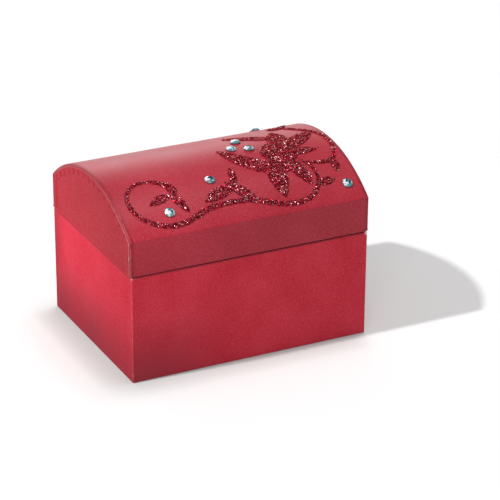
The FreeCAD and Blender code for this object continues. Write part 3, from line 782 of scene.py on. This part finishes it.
def build_end_paper(end, side):
    net = Net()
    hook = end_paper_hook()
    columns = end_paper_columns()
    outer_from = len(hook) - ARC_STEPS - 1
    rows = len(hook) + len(end_paper_heights(RIDGE))
    for column, (y, top, turned_in) in enumerate(columns):
        for row, (reach, z) in enumerate(hook):
            if turned_in or row >= outer_from:
                net.put((row, column), Vector((side * reach, y, z)))
        for row, z in enumerate(end_paper_heights(top), start=len(hook)):
            curl = CUT_CURL * (1 - smooth(0, CUT_CURL_REACH, top - z))
            sink = END_SINK * tab_relief(y, z) * smooth(0, 4 * MM, z - LID_FOOT) + curl
            sink += ripple((side, y, z), END_RIPPLE, END_RIPPLE_LENGTH)
            net.put((row, column), Vector((side * (END_PAPER_HIGH.x - sink), y, z)))
    net.grid(range(rows - 1), range(len(columns) - 1))
    piece = thicken(net.build(f"{end}_end_paper", flip=side > 0))
    # Painted highlight along the cut edge
    mark(piece, "edge", end_paper_edge)
    # Painted shade in the notches between the tabs
    mark(piece, "grime", end_paper_notch_shade)
    dress(piece, "lid", END_PAPER, "cover_paper", f"lid_{end}_end_paper")


# Hinge

CLOTH_BEND = 1.2 * MM
CLOTH_GROOVE = 0.12 * MM
CLOTH_GROOVE_REACH = 0.9 * MM
CLOTH_RIPPLE = 0.05 * MM
CLOTH_RIPPLE_LENGTH = 12 * MM
CLOTH_PASTE = 0.14 * MM
LINING_THICK = 0.2 * MM
LINING_SLIT = 0.05 * MM
LINING_TURN_STEPS = 8


def build_hinge_cloth():
    """Cloth pasted across the back, pressed a little into the seam."""
    net = Net()
    xs = spread(HINGE_LOW.x, HINGE_HIGH.x)
    below, above = SEAM - CLOTH_BEND, SEAM + CLOTH_BEND
    zs = spread(HINGE_LOW.z, below)[:-1] + spread(below, above, 0.15 * MM, 0.05 * MM)
    zs += spread(above, HINGE_HIGH.z)[1:]
    for row, z in enumerate(zs):
        groove = CLOTH_GROOVE * (1 - smooth(0, CLOTH_GROOVE_REACH, abs(z - SEAM)))
        for column, x in enumerate(xs):
            sink = groove + ripple((x, 0, z), CLOTH_RIPPLE, CLOTH_RIPPLE_LENGTH)
            net.put((row, column), Vector((x, HINGE_HIGH.y - sink, z)))
    net.grid(range(len(zs) - 1), range(len(xs) - 1))
    piece = thicken(net.build("hinge_cloth"), HINGE_HIGH.y - HINGE_LOW.y - CLOTH_PASTE)
    dress(piece, None, HINGE_CLOTH, "hinge_cloth", "hinge_outer_strip")
    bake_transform(piece)


def build_hinge_lining():
    """Cloth lining on the inner faces of the back walls, folded into the seam between them."""
    slit, steps = LINING_SLIT, LINING_TURN_STEPS
    face, fold = FOLD_LOW.y, FOLD_HIGH.y - LINING_THICK
    lower = [(face, z) for z in spread(FOLD_LOW.z, SEAM - slit, 1 * MM, 0.1 * MM)]
    lower += [(y, SEAM - slit) for y in spread(face, fold, 0.4 * MM, 0.1 * MM)[1:]]
    turn = [(fold, SEAM - slit + 2 * slit * step / steps) for step in range(1, steps)]
    upper = [(y, 2 * SEAM - z) for y, z in reversed(lower)]
    path = lower + turn + upper
    net = Net()
    xs = spread(FOLD_LOW.x, FOLD_HIGH.x)
    for row, (y, z) in enumerate(path):
        for column, x in enumerate(xs):
            net.put((row, column), Vector((x, y, z)))
    net.grid(range(len(path) - 1), range(len(xs) - 1))
    piece = thicken(net.build("hinge_lining", flip=True), LINING_THICK * 0.9)
    dress(piece, None, HINGE_LINING, "hinge_lining", "hinge_inner_strip")
    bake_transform(piece)


# Rhinestones

GEM_RADIUS = 3.2 * MM
GEM_HEIGHT = 1.6 * MM
GEM_GIRDLE = 0.5 * MM
GEM_TABLE = 1.8 * MM
GEM_STAR = 2.5 * MM
GEM_GLUE = 0.05 * MM
GEM_SIDES = 8
# Facet tints: the foil's teal, painted reflections in white and silver, and dark painted shade for the rim
FACET_REFLECTION_TINTS = {
    "white": (0.66, 0.65, 0.68),
    "silver": (0.42, 0.46, 0.49),
    "aqua": (0.08, 0.24, 0.29),
    "teal": (0.006, 0.09, 0.105),
    "night": (0.003, 0.03, 0.042),
    "slate": (0.12, 0.16, 0.18),
    "sage": (0.16, 0.26, 0.22),
    "rim": (0.08, 0.08, 0.1),
}


def gem_points():
    """Levels of a brilliant cut: middle of the back, back, girdle, star points, table and its middle."""
    step = math.pi / GEM_SIDES
    slope = (GEM_GIRDLE - GEM_HEIGHT) / (GEM_RADIUS - GEM_TABLE)
    star_height = GEM_HEIGHT + (GEM_STAR * math.cos(step) - GEM_TABLE) * slope

    def level(count, radius, height, phase=0.0):
        turns = [math.tau * (corner + phase) / count for corner in range(count)]
        return [Vector((radius * math.cos(turn), radius * math.sin(turn), height)) for turn in turns]

    return (
        level(2 * GEM_SIDES, GEM_RADIUS, 0.0)
        + level(2 * GEM_SIDES, GEM_RADIUS, GEM_GIRDLE)
        + level(GEM_SIDES, GEM_STAR, star_height, 0.5)
        + level(GEM_SIDES, GEM_TABLE, GEM_HEIGHT)
        + [Vector((0, 0, GEM_HEIGHT))]
    )


def gem_faces():
    """Facets between the levels: the back, the girdle, and each side's halves, kite, star and table."""
    ring = 2 * GEM_SIDES
    girdle, star, table, middle = ring, 2 * ring, 2 * ring + GEM_SIDES, 2 * ring + 2 * GEM_SIDES
    faces = [list(range(ring))[::-1]]
    for place in range(ring):
        after = (place + 1) % ring
        faces.append([place, after, girdle + after, girdle + place])
    for side in range(GEM_SIDES):
        after = (side + 1) % GEM_SIDES
        before = (side - 1) % GEM_SIDES
        corner, half, far = girdle + 2 * side, girdle + 2 * side + 1, girdle + (2 * side + 2) % ring
        faces.append([corner, half, star + side])
        faces.append([half, far, star + side])
        faces.append([table + side, star + before, corner, star + side])
        faces.append([table + side, star + side, table + after])
        faces.append([table + side, table + after, middle])
    return faces


def gem_tint(centre, dice):
    """A facet's tint: white at the left as a painted reflection of the light, teal in the middle and behind,
    slate in front, and painted shade at the rim.
    """
    reach = math.hypot(centre.x, centre.y)
    turn = math.degrees(math.atan2(centre.y, centre.x))
    if reach > 0.95 * GEM_RADIUS:
        return "rim"
    if reach > 0.9 * GEM_RADIUS:
        return dice.choice(("slate", "rim", "slate", "silver"))
    if reach < 0.8 * GEM_TABLE:
        toward_teal = math.cos(math.radians(turn - 20)) + dice.uniform(-0.2, 0.2)
        return dice.choice(("teal", "teal", "night", "aqua")) if toward_teal > -0.75 else "white"
    if 30 < turn < 105:
        return dice.choice(("teal", "night", "teal"))
    if -145 < turn < -75:
        return dice.choice(("slate", "sage", "aqua"))
    if -75 < turn < 30:
        return dice.choice(("white", "silver", "aqua"))
    return "white"


def build_rhinestone(number):
    node = frame["nodes"][f"rhinestone_{number}"]
    corners = [vertex.co for vertex in node.data.vertices]
    middle = sum(corners, Vector()) / len(corners)
    lean = math.atan2(middle.y, middle.z - ARCH_AXIS)
    stand = ARCH_RADIUS + GEM_GLUE
    foot = Vector((middle.x, stand * math.sin(lean), ARCH_AXIS + stand * math.cos(lean)))
    dice = Random(number)
    spin = Matrix.Rotation(dice.uniform(0, math.tau / GEM_SIDES), 3, "Z")
    upright = Matrix.Rotation(-lean, 3, "X")
    turned = [spin @ point for point in gem_points()]
    placed = [foot + upright @ point for point in turned]
    piece = new_object(f"stone_{number}", placed, gem_faces())
    tints = piece.data.color_attributes.new("tint", "FLOAT_COLOR", "CORNER")
    for face in piece.data.polygons:
        centre = sum((turned[corner] for corner in face.vertices), Vector()) / len(face.vertices)
        tint = FACET_REFLECTION_TINTS[gem_tint(centre, dice)]
        for loop in face.loop_indices:
            tints.data[loop].color = (*tint, 1)
    dress(piece, "lid", RHINESTONE, "rhinestone", node.name)
    return foot


# Glitter

FLAKE_SEED = 23
FLAKE_SIDES = 6
FLAKE_COUNT = 12000
STRAY_COUNT = 110
FLAKE_ACROSS = (0.45 * MM, 0.95 * MM)
FLAKE_CROWN = 0.02 * MM
FLAKE_TILT = 34
FLAKE_LIFT = 0.1 * MM
FLAKE_JITTER = 0.5 * MM
STRAY_REACH = (0.6 * MM, 3.2 * MM)
STRAY_HEIGHT = 0.04 * MM
EDGE_MARGIN = 1.5 * MM
STONE_MARGIN = 0.45 * MM
# Up to which roll of the dice a tint is used, and its darkest and lightest: most flakes dark maroon, some
# red, and a few pale pink ones that are painted glints
FLAKE_TINTS_AND_GLINTS = (
    (0.62, (0.07, 0.001, 0.004), (0.2, 0.004, 0.012)),
    (0.87, (0.28, 0.006, 0.02), (0.5, 0.02, 0.04)),
    (1.0, (0.75, 0.27, 0.3), (0.85, 0.5, 0.5)),
)


def glitter_top():
    """The upper faces of the glitter's bed as triangles, with their areas added up."""
    node = frame["nodes"]["glitter_scrollwork"]
    node.data.calc_loop_triangles()
    corners = [vertex.co for vertex in node.data.vertices]
    triangles, totals, total = [], [], 0.0
    for triangle in node.data.loop_triangles:
        points = [corners[index].copy() for index in triangle.vertices]
        middle = sum(points, Vector()) / 3
        outward = Vector((0, middle.y, middle.z - ARCH_AXIS)).normalized()
        if triangle.normal.dot(outward) > 0.8:
            total += triangle.area
            triangles.append(points)
            totals.append(total)
    return triangles, totals


def pick_point(triangles, totals, dice):
    points = triangles[bisect.bisect_left(totals, dice.uniform(0, totals[-1]))]
    first, second = sorted((dice.random(), dice.random()))
    return points[0] * first + points[1] * (second - first) + points[2] * (1 - second)


def flake(centre, outward, dice):
    """A six-sided chip, a little thicker in its middle, tilted at random."""
    across = dice.uniform(*FLAKE_ACROSS)
    tilt_axis = outward.orthogonal().normalized()
    tilt_axis.rotate(Matrix.Rotation(dice.uniform(0, math.tau), 3, outward))
    tilt = math.radians(dice.triangular(0, FLAKE_TILT, 0.4 * FLAKE_TILT))
    normal = Matrix.Rotation(tilt, 3, tilt_axis) @ outward
    side = normal.orthogonal().normalized()
    side.rotate(Matrix.Rotation(dice.uniform(0, math.tau), 3, normal))
    other = normal.cross(side)
    rim = []
    for corner in range(FLAKE_SIDES):
        turn = math.tau * corner / FLAKE_SIDES
        rim.append(centre + (side * math.cos(turn) + other * math.sin(turn)) * across / 2)
    return [centre + normal * FLAKE_CROWN, centre - normal * FLAKE_CROWN, *rim]


def flake_faces():
    """A chip's upper faces, then its lower ones. Its two middles come first among its points."""
    rim = [2 + corner for corner in range(FLAKE_SIDES)]
    edges = list(zip(rim, rim[1:] + rim[:1]))
    return [[0, here, after] for here, after in edges] + [[1, after, here] for here, after in edges]


def flake_tint(dice):
    roll = dice.random()
    low, high = next((low, high) for limit, low, high in FLAKE_TINTS_AND_GLINTS if roll <= limit)
    share = dice.random()
    return [dark + (light - dark) * share for dark, light in zip(low, high)]


def flake_places(stones, dice):
    """Centres for the flakes: all over the bed, and a few strays on the paper beside it."""
    triangles, totals = glitter_top()
    places = []
    while len(places) < FLAKE_COUNT + STRAY_COUNT:
        stray = len(places) >= FLAKE_COUNT
        point = pick_point(triangles, totals, dice)
        reach = dice.uniform(*STRAY_REACH) if stray else dice.uniform(0, FLAKE_JITTER)
        turn = dice.uniform(0, math.tau)
        x, y = point.x + reach * math.cos(turn), point.y + reach * math.sin(turn)
        if stray:
            lift = ARCH_RADIUS + STRAY_HEIGHT
        else:
            lift = math.hypot(point.y, point.z - ARCH_AXIS) + dice.uniform(0, FLAKE_LIFT)
        outward = Vector((0, y, math.sqrt(ARCH_RADIUS**2 - y * y))).normalized()
        centre = Vector((x, 0, ARCH_AXIS)) + outward * lift
        on_lid = abs(x) < LID_END - EDGE_MARGIN and abs(y) < HALF_DEPTH - EDGE_MARGIN
        clear = all((centre - stone).length > GEM_RADIUS + STONE_MARGIN for stone in stones)
        if on_lid and clear:
            places.append((centre, outward))
    return places


def build_glitter(stones):
    dice = Random(FLAKE_SEED)
    chip = flake_faces()
    points, faces, colours = [], [], []
    for centre, outward in flake_places(stones, dice):
        first = len(points)
        points += flake(centre, outward, dice)
        faces += [[first + corner for corner in face] for face in chip]
        colours += [flake_tint(dice)] * len(chip)
    piece = new_object("glitter_flakes", points, faces)
    tints = piece.data.color_attributes.new("tint", "FLOAT_COLOR", "CORNER")
    values = [channel for colour in colours for channel in (*colour, 1.0) * 3]
    tints.data.foreach_set("color", values)
    dress(piece, "lid", GLITTER_FOIL, "glitter")


# Carried-over nodes


def dress_nodes():
    """Finishes of the boards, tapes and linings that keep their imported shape."""
    finishes = (
        ("_board", GREYBOARD),
        ("_stay_", GUMMED_TAPE),
        ("_lining", LINING_PAPER),
        ("underside", UNDERSIDE_PAPER),
        ("glitter_scrollwork", GLITTER_GLUE),
    )
    for name, node in frame["nodes"].items():
        if node.hide_render:
            continue
        material = next(finish for word, finish in finishes if word in name)
        node.data.materials.clear()
        node.data.materials.append(material)


# Stage, light and camera

FLOOR_HALF = 6.0
FLOOR_COLOUR = (0.62, 0.62, 0.62)
FLOOR_SHADE = (0.41, 0.41, 0.405)
SHADE_REACH = 0.02
SHADE_TOWARD = (0.82, 0.26, 0.5)
FLOOR_GLOW = 0.135
WORLD_FILL = 0.35
WORLD_HORIZON = 1.0
WORLD_OVERHEAD = 0.15
WORLD_CHANGE = (0.4, 0.7)
KEY_TOWARD = Vector((-0.92, 0.045, 1.0)).normalized()
KEY_STRENGTH = 2.75
KEY_SPREAD = 2.5
# Name, place, width and depth, and power
SOFTBOXES = (
    ("back_softbox", Vector((0.1, 1.5, 0.6)), (1.4, 0.5), 5.4),
    ("top_softbox", Vector((0.28, 0.2, 1.6)), (0.45, 0.45), 7.0),
    ("front_softbox", Vector((-0.55, -1.0, 0.6)), (0.6, 0.5), 5.8),
)
# Name, place, what it is aimed at, cone in degrees, and power
SPOTS = (
    ("left_spot", Vector((-1.5, 0.2, 0.3)), Vector((-0.076, 0.033, 0.069)), 5.1, 38.0),
    ("corner_spot", Vector((-0.9, -1.1, 0.55)), Vector((-0.07, -0.056, 0.098)), 4.4, 25.0),
)
SPOT_RADIUS = 0.03

# The photograph's view, in degrees and millimetres, worked out from the box's corners in it
CAMERA_TURNS = (-26.828, 24.113, 0.411)
CAMERA_PLACE = Vector((-538.626, -1119.612, 602.223)) * MM
CAMERA_LENS = 163.62
CAMERA_SENSOR = 36


def seen_directly(tree):
    """1 for rays that show the background: from the camera, in a reflection, or through glass."""
    path = add(tree, "ShaderNodeLightPath").outputs
    seen = combine(tree, "MAXIMUM", path["Is Camera Ray"], path["Is Glossy Ray"])
    return combine(tree, "MAXIMUM", seen, path["Is Transmission Ray"])


def direction(tree, toward):
    """A fixed direction, for a socket that takes one only by a link."""
    parts = dict(zip("XYZ", toward))
    return add(tree, "ShaderNodeCombineXYZ", parts).outputs["Vector"]


def build_floor():
    """A plain pale floor, darker close to the left and front of the box, where it shuts off the light."""
    half = FLOOR_HALF
    corners = [Vector((x, y, 0)) for x, y in ((-half, -half), (half, -half), (half, half), (-half, half))]
    floor = new_object("floor", corners, [[0, 1, 2, 3]])
    material, tree, surface, _ = new_material("floor")
    nearness = {"Distance": SHADE_REACH, "Normal": direction(tree, SHADE_TOWARD)}
    openness = add(tree, "ShaderNodeAmbientOcclusion", nearness).outputs["AO"]
    pale = shades(tree, openness, (0.35, FLOOR_SHADE), (1.0, FLOOR_COLOUR))
    tree.links.new(pale, surface.inputs["Base Color"])
    surface.inputs["Roughness"].default_value = 0.9
    surface.inputs["Specular IOR Level"].default_value = 0.1
    glow = combine(tree, "MULTIPLY", seen_directly(tree), FLOOR_GLOW)
    tree.links.new(glow, surface.inputs["Emission Strength"])
    surface.inputs["Emission Color"].default_value = (1, 1, 1, 1)
    floor.data.materials.append(material)


def build_world():
    world = bpy.data.worlds.new("studio")
    bpy.context.scene.world = world
    world.use_nodes = True
    tree = world.node_tree
    toward = add(tree, "ShaderNodeTexCoord").outputs["Generated"]
    height = add(tree, "ShaderNodeSeparateXYZ", {"Vector": toward}).outputs["Z"]
    studio = remap(tree, height, *WORLD_CHANGE, WORLD_HORIZON, WORLD_OVERHEAD)
    lit = combine(tree, "MULTIPLY", combine(tree, "SUBTRACT", 1.0, seen_directly(tree)), WORLD_FILL)
    shown = combine(tree, "MULTIPLY", seen_directly(tree), studio)
    tree.nodes["Background"].inputs["Color"].default_value = (1, 1, 1, 1)
    tree.links.new(combine(tree, "ADD", lit, shown), tree.nodes["Background"].inputs["Strength"])


def place_lamp(lamp, place, toward):
    """Puts a lamp there, shining away from the direction it stands in."""
    holder = bpy.data.objects.new(lamp.name, lamp)
    holder.location = place
    holder.rotation_mode = "QUATERNION"
    holder.rotation_quaternion = toward.to_track_quat("Z", "Y")
    bpy.context.scene.collection.objects.link(holder)


def build_lamps():
    """A hard key from the left, softboxes round the box, and soft-edged spots on its left and corner."""
    key = bpy.data.lights.new("key", "SUN")
    key.energy = KEY_STRENGTH
    key.angle = math.radians(KEY_SPREAD)
    place_lamp(key, KEY_TOWARD, KEY_TOWARD)
    for name, place, (width, depth), power in SOFTBOXES:
        box = bpy.data.lights.new(name, "AREA")
        box.shape = "RECTANGLE"
        box.size = width
        box.size_y = depth
        box.energy = power
        place_lamp(box, place, (place - Vector((0, 0, RIM))).normalized())
    for name, place, aim, cone, power in SPOTS:
        spot = bpy.data.lights.new(name, "SPOT")
        spot.energy = power
        spot.spot_size = math.radians(cone)
        spot.spot_blend = 1.0
        spot.shadow_soft_size = SPOT_RADIUS
        place_lamp(spot, place, (place - aim).normalized())


def build_camera():
    azimuth, elevation, roll = (math.radians(turn) for turn in CAMERA_TURNS)
    level = Vector((math.cos(azimuth), math.sin(azimuth), 0))
    flat = math.cos(elevation)
    back = Vector((math.sin(azimuth) * flat, -math.cos(azimuth) * flat, math.sin(elevation)))
    upward = back.cross(level)
    right = level * math.cos(roll) + upward * math.sin(roll)
    top = upward * math.cos(roll) - level * math.sin(roll)
    lens = bpy.data.cameras.new("camera")
    lens.sensor_width = CAMERA_SENSOR
    lens.lens = CAMERA_LENS
    camera = bpy.data.objects.new("camera", lens)
    camera.matrix_world = Matrix((right, top, back)).transposed().to_4x4()
    camera.location = CAMERA_PLACE
    bpy.context.scene.collection.objects.link(camera)
    bpy.context.scene.camera = camera


build_tray_cover()
build_lid_cover()
build_end_paper("left", -1)
build_end_paper("right", 1)
build_hinge_cloth()
build_hinge_lining()
stone_feet = [build_rhinestone(number) for number in range(1, 8)]
build_glitter(stone_feet)
dress_nodes()
build_floor()
build_world()
build_lamps()
build_camera()
bpy.context.scene.view_settings.view_transform = "Standard"
